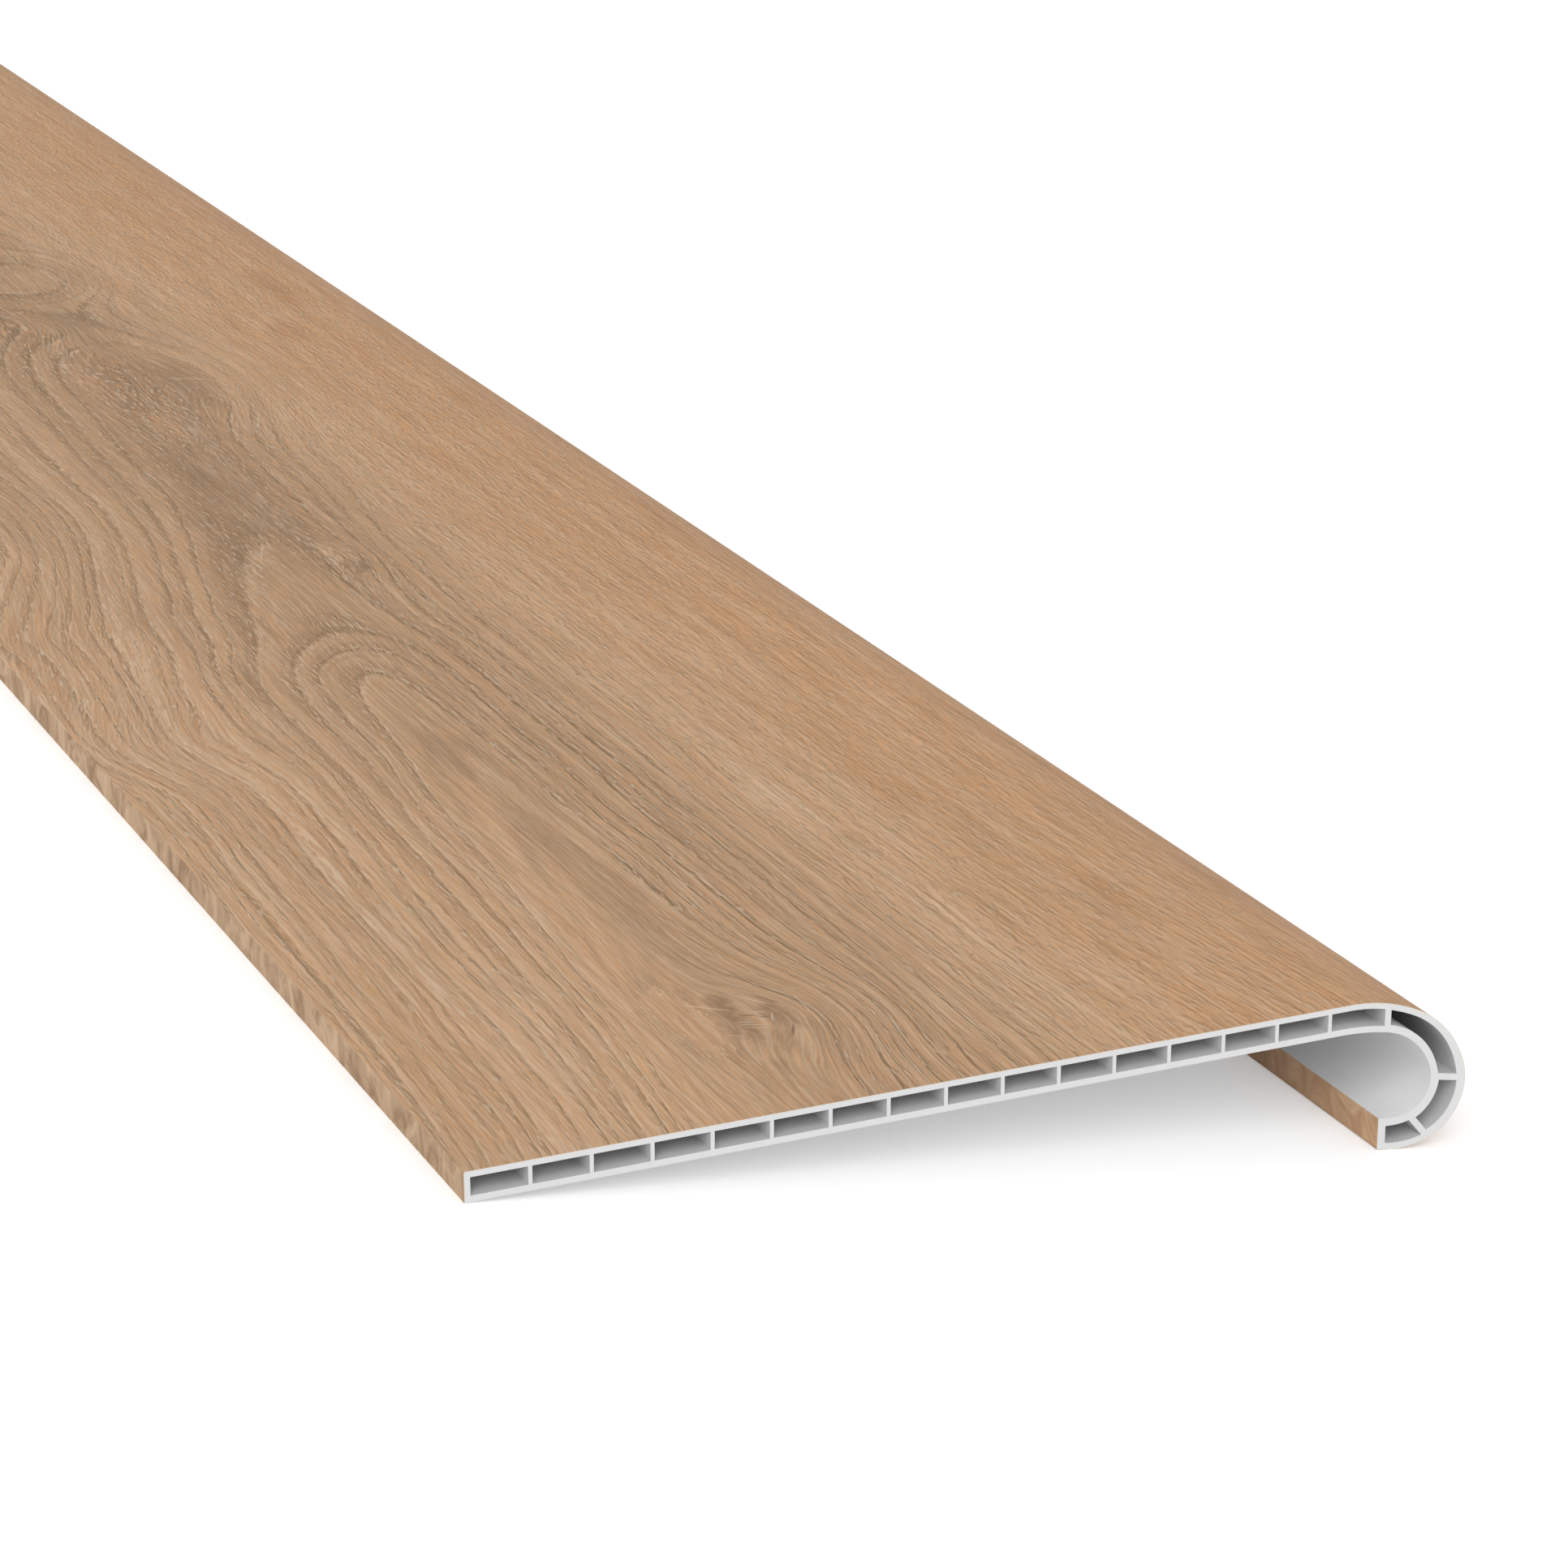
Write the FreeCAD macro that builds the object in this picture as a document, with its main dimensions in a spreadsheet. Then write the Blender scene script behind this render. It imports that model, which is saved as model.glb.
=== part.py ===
"""Hollow stair tread: one extruded PVC profile, cut to length, with a rounded nose that hooks over a step.

The section is drawn in depth (from the back edge towards the nose) and height (above the flat underside).
Millimetres and degrees.
"""
import FreeCAD, Part
import math
import os

import Sketcher

V = FreeCAD.Vector

SIZES = {
    # The flat panel
    "tread_length": 1829,
    "tread_depth": 308,
    "panel_thickness": 9,
    "top_skin": 1.8,
    "bottom_skin": 1.9,
    "back_wall": 1.75,
    "cell_width": 16.2,
    "cell_web": 1.15,
    # The nose's outer line: tangent arcs from the flat top round to the tip
    "brow_radius": 51,
    "brow_angle": 27,
    "shoulder_radius": 32.5,
    "shoulder_angle": 44,
    "front_radius": 18,
    "front_angle": 95,
    "heel_radius": 30,
    "tip_setback": 28.9,
    # The hook's inner line: tangent arcs from the flat underside round to the tip
    "front_wall": 11.75,
    "hook_brow_radius": 72,
    "hook_brow_angle": 12,
    "hook_shoulder_radius": 20.5,
    "hook_shoulder_angle": 59,
    "hook_front_radius": 10.5,
    "hook_front_angle": 103,
    "hook_heel_radius": 23,
    # The skins and webs of the nose's chambers
    "tip_wall": 2.6,
    "nose_web": 2,
    "brow_skin": 1.9,
    "front_skin": 2.9,
    "heel_skin": 2.1,
    "hook_shoulder_skin": 2.2,
    "hook_front_skin": 2.85,
    "hook_heel_skin": 2.4,
    "front_web_angle": 89,
    "front_web_fall_angle": 11.5,
    "heel_web_angle": 162.6,
    "heel_web_fall_angle": 50.5,
}

# Each arc's place in the names of its sizes, from the panel round to the tip
OUTER_NAMES = ("brow", "shoulder", "front", "heel")
HOOK_NAMES = ("hook_brow", "hook_shoulder", "hook_front", "hook_heel")

# A sketch's own numbers for an edge's start, end and centre
START, END, CENTRE = range(1, 4)


def make_sheet(doc, plain_cells):
    """All sizes, and how many equal cells they leave room for."""
    sheet = doc.addObject("Spreadsheet::Sheet", "sizes")
    rows = list(SIZES.items()) + [("plain_cells", plain_cells)]
    for row, (name, value) in enumerate(rows, start=1):
        sheet.set("A%d" % row, name)
        sheet.set("B%d" % row, str(value))
        sheet.setAlias("B%d" % row, name)
    doc.recompute()


def outward(turn):
    """Unit vector square to a face that has turned down by this angle from level."""
    return V(math.sin(math.radians(turn)), math.cos(math.radians(turn)), 0)


def along(fall):
    """Unit vector towards the nose that falls by this angle."""
    return V(math.cos(math.radians(fall)), -math.sin(math.radians(fall)), 0)


class TangentArcs:
    """Four tangent arcs that leave a level face at a given height and reach a given depth on the third arc."""

    def __init__(self, height, reach, radii, turns):
        self.radii = radii
        self.headings = [sum(turns[: count + 1]) for count in range(len(turns))]
        self.centres = [V(0, height - radii[0], 0)]
        for heading, radius, following in zip(self.headings, radii, radii[1:]):
            self.centres.append(self.centres[-1] + outward(heading) * (radius - following))
        shift = V(reach - radii[2] - self.centres[2].x, 0, 0)
        self.centres = [centre + shift for centre in self.centres]

    def point(self, arc, turn, offset=0):
        return self.centres[arc] + outward(turn) * (self.radii[arc] + offset)

    def joint(self, arc, offset=0):
        """Where one arc passes into the next."""
        return self.point(arc, self.headings[arc], offset)

    def at_depth(self, arc, depth, offset=0, side=1):
        """Where the arc's circle stands over (side 1) or under (side -1) a depth."""
        across = depth - self.centres[arc].x
        radius = self.radii[arc] + offset
        return self.centres[arc] + V(across, side * math.sqrt(radius**2 - across**2), 0)

    def on_line(self, arc, start, direction, offset=0):
        """Where a line that goes outward leaves the arc's circle."""
        gap = start - self.centres[arc]
        radius = self.radii[arc] + offset
        middle = gap.dot(direction)
        return start + direction * (math.sqrt(middle**2 - gap.dot(gap) + radius**2) - middle)


class Edge:
    """One line or arc of a sketch, with its ends in drawing order."""

    def __init__(self, index, start, end):
        self.index = index
        self.start = (index, start)
        self.end = (index, end)
        self.centre = (index, CENTRE)


class Section:
    """A sketch drawn as closed loops of lines and arcs, with its sizes bound to the sheet."""

    def __init__(self, sketch):
        self.sketch = sketch

    def add(self, kind, *places):
        return self.sketch.addConstraint(Sketcher.Constraint(kind, *places))

    def bind(self, expression, kind, *places):
        self.sketch.setExpression("Constraints[%d]" % self.add(kind, *places), expression)

    def line(self, start, end, construction=False):
        return Edge(self.sketch.addGeometry(Part.LineSegment(start, end), construction), START, END)

    def arc(self, centre, start, end, clockwise):
        """An arc drawn from start to end. The sketch itself keeps every arc counter-clockwise."""
        first, last = (end, start) if clockwise else (start, end)
        angles = [math.atan2(point.y - centre.y, point.x - centre.x) for point in (first, last)]
        if angles[1] < angles[0]:
            angles[1] += 2 * math.pi
        circle = Part.Circle(centre, V(0, 0, 1), (start - centre).Length)
        index = self.sketch.addGeometry(Part.ArcOfCircle(circle, *angles), False)
        return Edge(index, END, START) if clockwise else Edge(index, START, END)

    def close(self, edges, smooth=()):
        """Join each edge's end to the next one's start, tangent after the edges named as smooth."""
        for edge, following in zip(edges, edges[1:] + edges[:1]):
            kind = "Tangent" if edge in smooth else "Coincident"
            self.add(kind, *edge.end, *following.start)

    def level(self, edge):
        self.add("Horizontal", edge.index)

    def upright(self, edge):
        self.add("Vertical", edge.index)

    def over(self, point, centre):
        """A level line that ends straight over or under an arc's centre runs into it smoothly."""
        self.add("Vertical", *point, *centre)

    def meet(self, point, edge):
        self.add("PointOnObject", *point, edge.index)

    def concentric(self, edge, other):
        self.add("Coincident", *edge.centre, *other.centre)

    def depth(self, point, expression):
        value = self.sketch.getPoint(*point).x
        self.bind(expression, "DistanceX", -1, START, *point, value)

    def height(self, point, expression):
        value = self.sketch.getPoint(*point).y
        self.bind(expression, "DistanceY", -1, START, *point, value)

    def radius(self, edge, expression):
        self.bind(expression, "Radius", edge.index, self.sketch.Geometry[edge.index].Radius)

    def from_centre(self, point, centre, expression):
        value = (self.sketch.getPoint(*point) - self.sketch.getPoint(*centre)).Length
        self.bind(expression, "Distance", *point, *centre, value)

    def direction(self, edge, expression):
        run = self.sketch.getPoint(*edge.end) - self.sketch.getPoint(*edge.start)
        self.bind(expression, "Angle", edge.index, math.atan2(run.y, run.x))

    def beside(self, edge, other, expression):
        """An edge runs parallel to a line, at a distance."""
        self.add("Parallel", edge.index, other.index)
        begin = self.sketch.getPoint(*other.start)
        run = (self.sketch.getPoint(*other.end) - begin).normalize()
        gap = self.sketch.getPoint(*edge.start) - begin
        self.bind(expression, "Distance", *edge.start, other.index, abs(gap.x * run.y - gap.y * run.x))


def attach(body, name, plane):
    sketch = body.newObject("Sketcher::SketchObject", name)
    origin_plane = next(item for item in body.Origin.OriginFeatures if item.Role == plane)
    sketch.AttachmentSupport = [(origin_plane, "")]
    sketch.MapMode = "FlatFace"
    return sketch


def draw_outline(section, outer, hook, tip):
    """The outer line and the hook's inner line, joined by the back edge, the underside and the tip."""
    thickness = SIZES["panel_thickness"]
    ends = [outer.point(0, 0)] + [outer.joint(arc) for arc in range(3)] + [outer.at_depth(3, tip, side=-1)]
    hook_ends = [hook.point(0, 0)] + [hook.joint(arc) for arc in range(3)]
    hook_ends.append(hook.at_depth(3, tip, side=-1))

    back = section.line(V(0, 0, 0), V(0, thickness, 0))
    top = section.line(V(0, thickness, 0), ends[0])
    over = [section.arc(outer.centres[arc], ends[arc], ends[arc + 1], True) for arc in range(4)]
    front = section.line(ends[4], hook_ends[4])
    under = [section.arc(hook.centres[arc], hook_ends[arc + 1], hook_ends[arc], False) for arc in range(4)]
    underside = section.line(hook_ends[0], V(0, 0, 0))
    section.close([back, top] + over + [front] + under[::-1] + [underside], smooth=over[:3] + under[:0:-1])

    section.add("Coincident", *back.start, -1, START)
    section.upright(back)
    section.upright(front)
    section.level(top)
    section.level(underside)
    section.height(top.start, "sizes.panel_thickness")
    section.over(top.end, over[0].centre)
    section.over(underside.start, under[0].centre)
    for arcs, names in ((over, OUTER_NAMES), (under, HOOK_NAMES)):
        for arc, name in zip(arcs, names):
            section.radius(arc, "sizes.%s_radius" % name)
    section.depth(over[2].centre, "sizes.tread_depth - sizes.front_radius")
    section.depth(under[2].centre, "sizes.tread_depth - sizes.front_wall - sizes.hook_front_radius")
    section.depth(front.start, "sizes.tread_depth - sizes.tip_setback")

    # Spokes from each arc's centre to where it passes into the next set how far it turns
    spokes = []
    for line, arcs, names in ((outer, over, OUTER_NAMES), (hook, under, HOOK_NAMES)):
        for arc in range(3):
            spoke = section.line(line.centres[arc], line.joint(arc), construction=True)
            section.add("Coincident", *spoke.start, *arcs[arc].centre)
            section.add("Coincident", *spoke.end, *(over[arc].end if arcs is over else under[arc].start))
            turned = " - ".join("sizes.%s_angle" % name for name in names[: arc + 1])
            section.direction(spoke, "(90 - %s) * 1 deg" % turned)
            spokes.append(spoke)
    return over, under, spokes[:3], spokes[3:]


def draw_web_line(section, name, outer, hook, over, under):
    """A nose web's middle line: it springs from the hook's front arc and falls towards the outer line."""
    turn, fall = SIZES[name + "_angle"], SIZES[name + "_fall_angle"]
    root = hook.point(2, turn)
    spoke = section.line(hook.centres[2], root, construction=True)
    section.add("Coincident", *spoke.start, *under[2].centre)
    section.meet(spoke.end, under[2])
    section.direction(spoke, "(90 - sizes.%s_angle) * 1 deg" % name)
    middle = section.line(root, outer.on_line(2, root, along(fall)), construction=True)
    section.add("Coincident", *middle.start, *spoke.end)
    section.meet(middle.end, over[2])
    section.direction(middle, "-sizes.%s_fall_angle * 1 deg" % name)
    return middle


def web_face(name, hook, side):
    """A point and direction on a nose web's upper (side 1) or lower (side -1) face."""
    fall = SIZES[name + "_fall_angle"]
    return hook.point(2, SIZES[name + "_angle"]) + outward(fall) * side * SIZES["nose_web"] / 2, along(fall)


def draw_bend_cell(section, outer, hook, over, under, left, right):
    """The last cell of the panel, which follows the nose's first bend."""
    ceiling = SIZES["panel_thickness"] - SIZES["top_skin"]
    floor = SIZES["bottom_skin"]
    top_left, bottom_left = V(left, ceiling, 0), V(left, floor, 0)
    top_bend, bottom_bend = outer.point(0, 0, -SIZES["top_skin"]), hook.point(0, 0, floor)
    top_right = outer.at_depth(0, right, -SIZES["top_skin"])
    bottom_right = hook.at_depth(0, right, floor)

    side = section.line(bottom_left, top_left)
    top = section.line(top_left, top_bend)
    top_arc = section.arc(outer.centres[0], top_bend, top_right, True)
    web = section.line(top_right, bottom_right)
    bottom_arc = section.arc(hook.centres[0], bottom_right, bottom_bend, False)
    bottom = section.line(bottom_bend, bottom_left)
    section.close([side, top, top_arc, web, bottom_arc, bottom])
    for edge in (side, web):
        section.upright(edge)
    for edge in (top, bottom):
        section.level(edge)
    section.concentric(top_arc, over[0])
    section.concentric(bottom_arc, under[0])
    section.over(top.end, over[0].centre)
    section.over(bottom.start, under[0].centre)
    section.height(top.start, "sizes.panel_thickness - sizes.top_skin")
    section.height(bottom.end, "sizes.bottom_skin")
    section.depth(side.start, "sizes.back_wall + sizes.plain_cells * (sizes.cell_width + sizes.cell_web)")
    section.depth(web.start, "sizes.tread_depth - sizes.tip_setback + sizes.tip_wall - sizes.nose_web")


def draw_brow_chamber(section, outer, hook, over, under, outer_spokes, front_web, left):
    """The chamber behind the upper half of the nose. Its outer skin thickens towards the front."""
    skin = SIZES["brow_skin"]
    start, direction = web_face("front_web", hook, 1)
    web_in = hook.on_line(1, start, direction, SIZES["hook_shoulder_skin"])
    web_out = outer.on_line(2, start, direction, -SIZES["front_skin"])
    upper_left = outer.at_depth(0, left, -skin)
    lower_left = hook.at_depth(1, left, SIZES["hook_shoulder_skin"])
    # The second arc is tangent to the first and ends at the web, so its centre lies on the first spoke
    joint = outer.joint(0, -skin)
    spoke = outward(outer.headings[0])
    gap = web_out - outer.centres[0]
    radius = SIZES["brow_radius"] - skin
    shift = (radius**2 - gap.dot(gap)) / (2 * (radius - spoke.dot(gap)))

    side = section.line(lower_left, upper_left)
    brow = section.arc(outer.centres[0], upper_left, joint, True)
    shoulder = section.arc(outer.centres[0] + spoke * shift, joint, web_out, True)
    web = section.line(web_out, web_in)
    inner = section.arc(hook.centres[1], web_in, lower_left, False)
    section.close([side, brow, shoulder, web, inner], smooth=[brow])
    section.upright(side)
    section.depth(side.start, "sizes.tread_depth - sizes.tip_setback + sizes.tip_wall")
    section.concentric(brow, over[0])
    section.radius(brow, "sizes.brow_radius - sizes.brow_skin")
    section.meet(brow.end, outer_spokes[0])
    section.from_centre(shoulder.end, over[2].centre, "sizes.front_radius - sizes.front_skin")
    section.beside(web, front_web, "sizes.nose_web / 2")
    section.concentric(inner, under[1])
    section.radius(inner, "sizes.hook_shoulder_radius + sizes.hook_shoulder_skin")


def draw_front_chamber(section, outer, hook, over, under, front_web, heel_web):
    """The chamber between the two sloping webs."""
    faces = [web_face("front_web", hook, -1), web_face("heel_web", hook, 1)]
    outs = [outer.on_line(2, *face, -SIZES["front_skin"]) for face in faces]
    ins = [hook.on_line(2, *face, SIZES["hook_front_skin"]) for face in faces]

    upper = section.line(ins[0], outs[0])
    skin = section.arc(outer.centres[2], outs[0], outs[1], True)
    lower = section.line(outs[1], ins[1])
    inner = section.arc(hook.centres[2], ins[1], ins[0], False)
    section.close([upper, skin, lower, inner])
    section.beside(upper, front_web, "sizes.nose_web / 2")
    section.beside(lower, heel_web, "sizes.nose_web / 2")
    section.concentric(skin, over[2])
    section.radius(skin, "sizes.front_radius - sizes.front_skin")
    section.concentric(inner, under[2])
    section.radius(inner, "sizes.hook_front_radius + sizes.hook_front_skin")


def draw_heel_chamber(section, outer, hook, over, under, hook_spokes, heel_web, left):
    """The chamber under the hook, between the last web and the tip."""
    skin = SIZES["hook_heel_skin"]
    start, direction = web_face("heel_web", hook, -1)
    web_in = hook.on_line(2, start, direction, skin)
    web_out = outer.on_line(3, start, direction, -SIZES["heel_skin"])
    lower_left = outer.at_depth(3, left, -SIZES["heel_skin"], side=-1)
    upper_left = hook.at_depth(3, left, skin, side=-1)
    joint = hook.joint(2, skin)

    web = section.line(web_in, web_out)
    outer_skin = section.arc(outer.centres[3], web_out, lower_left, True)
    side = section.line(lower_left, upper_left)
    heel = section.arc(hook.centres[3], upper_left, joint, False)
    front = section.arc(hook.centres[2], joint, web_in, False)
    section.close([web, outer_skin, side, heel, front])
    section.beside(web, heel_web, "sizes.nose_web / 2")
    section.upright(side)
    section.depth(side.start, "sizes.tread_depth - sizes.tip_setback + sizes.tip_wall")
    section.concentric(outer_skin, over[3])
    section.radius(outer_skin, "sizes.heel_radius - sizes.heel_skin")
    section.concentric(heel, under[3])
    section.radius(heel, "sizes.hook_heel_radius + sizes.hook_heel_skin")
    section.concentric(front, under[2])
    section.meet(heel.end, hook_spokes[2])


def draw_plain_cell(section):
    """The first of the equal cells of the flat panel, beside the back wall."""
    left, right = SIZES["back_wall"], SIZES["back_wall"] + SIZES["cell_width"]
    low, high = SIZES["bottom_skin"], SIZES["panel_thickness"] - SIZES["top_skin"]
    corners = [V(left, low, 0), V(right, low, 0), V(right, high, 0), V(left, high, 0)]
    bottom, far, top, near = [
        section.line(corner, following) for corner, following in zip(corners, corners[1:] + corners[:1])
    ]
    section.close([bottom, far, top, near])
    for edge in (bottom, top):
        section.level(edge)
    for edge in (far, near):
        section.upright(edge)
    section.depth(bottom.start, "sizes.back_wall")
    section.height(bottom.start, "sizes.bottom_skin")
    section.depth(top.start, "sizes.back_wall + sizes.cell_width")
    section.height(top.start, "sizes.panel_thickness - sizes.top_skin")


def resting_place(outer):
    """Turn and shift that stand the tread right side up on its heel and its lower back edge."""
    heel, front = outer.centres[3], outer.centres[2]
    tilt = math.degrees(math.asin(outer.radii[3] / heel.Length) + math.atan2(-heel.y, heel.x))
    forward = along(tilt)
    reach = front.dot(forward) + outer.radii[2]
    behind = SIZES["panel_thickness"] * math.sin(math.radians(tilt))
    turn = FreeCAD.Rotation(V(1, 0, 0), -tilt) * FreeCAD.Rotation(V(0, 0, 1), 180)
    return FreeCAD.Placement(V(SIZES["tread_length"] / 2, (reach - behind) / 2, 0), turn)


def make_tread(doc):
    s = SIZES
    outer = TangentArcs(
        s["panel_thickness"],
        s["tread_depth"],
        [s[name + "_radius"] for name in OUTER_NAMES],
        [s[name + "_angle"] for name in OUTER_NAMES[:3]],
    )
    hook = TangentArcs(
        0,
        s["tread_depth"] - s["front_wall"],
        [s[name + "_radius"] for name in HOOK_NAMES],
        [s[name + "_angle"] for name in HOOK_NAMES[:3]],
    )
    # As many equal cells as fit before the underside starts to bend
    pitch = s["cell_width"] + s["cell_web"]
    plain_cells = int((hook.centres[0].x - s["back_wall"]) // pitch)
    make_sheet(doc, plain_cells)
    tip = s["tread_depth"] - s["tip_setback"]
    nose_left = tip + s["tip_wall"]

    body = doc.addObject("PartDesign::Body", "stair_tread")
    body.Label = "stair_tread"
    sketch = attach(body, "section", "YZ_Plane")
    section = Section(sketch)
    over, under, outer_spokes, hook_spokes = draw_outline(section, outer, hook, tip)
    front_web = draw_web_line(section, "front_web", outer, hook, over, under)
    heel_web = draw_web_line(section, "heel_web", outer, hook, over, under)
    bend_left = s["back_wall"] + plain_cells * pitch
    draw_bend_cell(section, outer, hook, over, under, bend_left, nose_left - s["nose_web"])
    draw_brow_chamber(section, outer, hook, over, under, outer_spokes, front_web, nose_left)
    draw_front_chamber(section, outer, hook, over, under, front_web, heel_web)
    draw_heel_chamber(section, outer, hook, over, under, hook_spokes, heel_web, nose_left)
    bar = body.newObject("PartDesign::Pad", "bar")
    bar.Profile = sketch
    bar.setExpression("Length", "sizes.tread_length")
    doc.recompute()
    solid_volume = bar.Shape.Volume

    cell_sketch = attach(body, "cell_section", "YZ_Plane")
    draw_plain_cell(Section(cell_sketch))
    cell = body.newObject("PartDesign::Pocket", "cell")
    cell.Profile = cell_sketch
    cell.Type = "ThroughAll"
    cell.Reversed = True
    cells = body.newObject("PartDesign::LinearPattern", "cells")
    cells.Originals = [cell]
    across = next(item for item in body.Origin.OriginFeatures if item.Role == "Y_Axis")
    cells.Direction = (across, [""])
    cells.Mode = "Spacing"
    cells.setExpression("Offset", "sizes.cell_width + sizes.cell_web")
    cells.setExpression("Occurrences", "sizes.plain_cells")
    body.Tip = cells
    body.Placement = resting_place(outer)
    doc.recompute()

    # The cells are open from end to end
    opening = s["cell_width"] * (s["panel_thickness"] - s["top_skin"] - s["bottom_skin"])
    expected = plain_cells * opening * s["tread_length"]
    if abs(solid_volume - body.Shape.Volume - expected) > 1e-6 * solid_volume:
        raise RuntimeError("the cells do not run through the tread")
    return body


def check(doc):
    for item in doc.Objects:
        if any(word in item.State for word in ("Invalid", "Error")):
            raise RuntimeError("%s failed to build: %s" % (item.Name, item.State))


def write(bodies):
    os.makedirs("parts", exist_ok=True)
    for body in bodies:
        if body.Shape.isNull() or not body.Shape.isValid():
            raise RuntimeError("%s has no valid shape" % body.Label)
        body.Shape.exportStep(os.path.join("parts", body.Label + ".step"))
        box = body.Shape.BoundBox
        print("%s: %.1f x %.1f x %.1f mm" % (body.Label, box.XLength, box.YLength, box.ZLength))


doc = FreeCAD.newDocument("stair_tread")
tread = make_tread(doc)
check(doc)
write([tread])
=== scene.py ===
"""Hollow stair tread: an extruded PVC profile with a rounded, hooked nose, wrapped in a wood-look film.

Laid out as an add-on and run as a script. Lengths in the mesh are metres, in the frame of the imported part.
"""
import math
from functools import partial

import bmesh
import bpy
from bpy.props import FloatProperty, FloatVectorProperty, PointerProperty
from mathutils import Matrix, Vector


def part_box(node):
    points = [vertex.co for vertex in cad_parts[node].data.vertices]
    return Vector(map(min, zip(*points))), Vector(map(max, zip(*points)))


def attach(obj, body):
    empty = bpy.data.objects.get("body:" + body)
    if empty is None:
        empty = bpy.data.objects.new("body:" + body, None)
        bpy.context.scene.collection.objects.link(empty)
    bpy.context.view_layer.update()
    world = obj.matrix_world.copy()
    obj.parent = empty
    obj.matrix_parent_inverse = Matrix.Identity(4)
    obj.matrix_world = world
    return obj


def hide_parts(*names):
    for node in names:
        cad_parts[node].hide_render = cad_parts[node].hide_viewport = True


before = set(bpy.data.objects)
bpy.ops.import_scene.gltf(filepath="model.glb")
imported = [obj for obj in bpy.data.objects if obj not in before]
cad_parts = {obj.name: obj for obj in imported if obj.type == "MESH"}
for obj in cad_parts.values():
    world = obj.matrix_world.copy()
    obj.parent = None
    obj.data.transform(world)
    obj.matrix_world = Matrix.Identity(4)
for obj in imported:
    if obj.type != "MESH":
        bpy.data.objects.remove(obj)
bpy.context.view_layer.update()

bl_info = {
    "name": "Hollow Stair Tread",
    "version": (1, 0, 0),
    "blender": (4, 5, 0),
    "location": "View3D > Sidebar > Stair Tread",
    "description": "Builds an extruded stair tread with a rounded nose and its wood-look film",
    "category": "Add Mesh",
}

MM = 0.001
NODE_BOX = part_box("stair_tread")

PROFILE_NAME = "stair_tread_profile"
FILM_NAME = "stair_tread_film"
FILM_MAP = "unrolled"

ARC_STEP = math.radians(3)
SMOOTH_UNDER = math.radians(20)
# A narrow strip beside each bend keeps the flat faces flat under smooth shading
FLAT_MARGIN = 0.5 * MM


def linear(code):
    """An sRGB hex colour as the linear values that shaders work with."""
    parts = [int(code[place : place + 2], 16) / 255 for place in (0, 2, 4)]
    return [part / 12.92 if part <= 0.04045 else ((part + 0.055) / 1.055) ** 2.4 for part in parts]


def length(name, description, millimetres):
    return FloatProperty(name=name, description=description, default=millimetres * MM, min=0, unit="LENGTH", precision=5)


def radii(name, description, *millimetres):
    default = [value * MM for value in millimetres]
    return FloatVectorProperty(
        name=name, description=description, default=default, size=len(default), unit="LENGTH", precision=5
    )


def turns(name, description, *degrees):
    default = [math.radians(value) for value in degrees]
    return FloatVectorProperty(
        name=name, description=description, default=default, size=len(default), unit="ROTATION"
    )


def colour(name, description, code):
    return FloatVectorProperty(
        name=name, description=description, default=linear(code), size=3, min=0, max=1, subtype="COLOR"
    )


class TreadSizes(bpy.types.PropertyGroup):
    """The section and length of the extrusion."""

    tread_length: FloatProperty(
        name="Length",
        description="Length of the stock",
        default=NODE_BOX[1].x - NODE_BOX[0].x,
        min=0,
        unit="LENGTH",
    )
    depth: length("Depth", "Back edge to the front of the nose", 308)
    thickness: length("Panel thickness", "Top face to underside of the flat panel", 9)
    top_skin: length("Top skin", "Wall over the panel's cells", 1.8)
    bottom_skin: length("Bottom skin", "Wall under the panel's cells", 1.9)
    back_wall: length("Back wall", "Wall between the first cell and the back edge", 1.75)
    cell_width: length("Cell width", "Clear width of a plain cell", 16.2)
    cell_web: length("Cell web", "Wall between two cells", 1.15)
    outer_radii: radii("Outer radii", "Brow, shoulder, front and heel of the nose", 51, 32.5, 18, 30)
    outer_turns: turns("Outer turns", "How far the brow, shoulder and front turn", 27, 44, 95)
    tip_setback: length("Tip setback", "Front of the nose to the face of its tip", 28.9)
    front_wall: length("Front wall", "Front of the nose to the front of the hook", 11.75)
    hook_radii: radii("Hook radii", "The hook's inner arcs, from the underside to the tip", 72, 20.5, 10.5, 23)
    hook_turns: turns("Hook turns", "How far the hook's first three arcs turn", 12, 59, 103)
    tip_wall: length("Tip wall", "Wall behind the tip's face", 2.6)
    nose_web: length("Nose web", "Each web across the nose", 2)
    nose_skins: radii("Nose skins", "Outer wall of the brow, front and heel chambers", 1.9, 2.9, 2.1)
    hook_skins: radii("Hook skins", "Inner wall of the brow, front and heel chambers", 2.2, 2.85, 2.4)
    web_turns: turns("Web roots", "Where the two sloping webs spring from the hook", 89, 162.6)
    web_falls: turns("Web falls", "How steeply the two sloping webs fall", 11.5, 50.5)
    film: length("Film", "Thickness of the film", 0.2)
    film_corner: length("Film corner", "Radius of the film over a square corner", 0.5)


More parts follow.
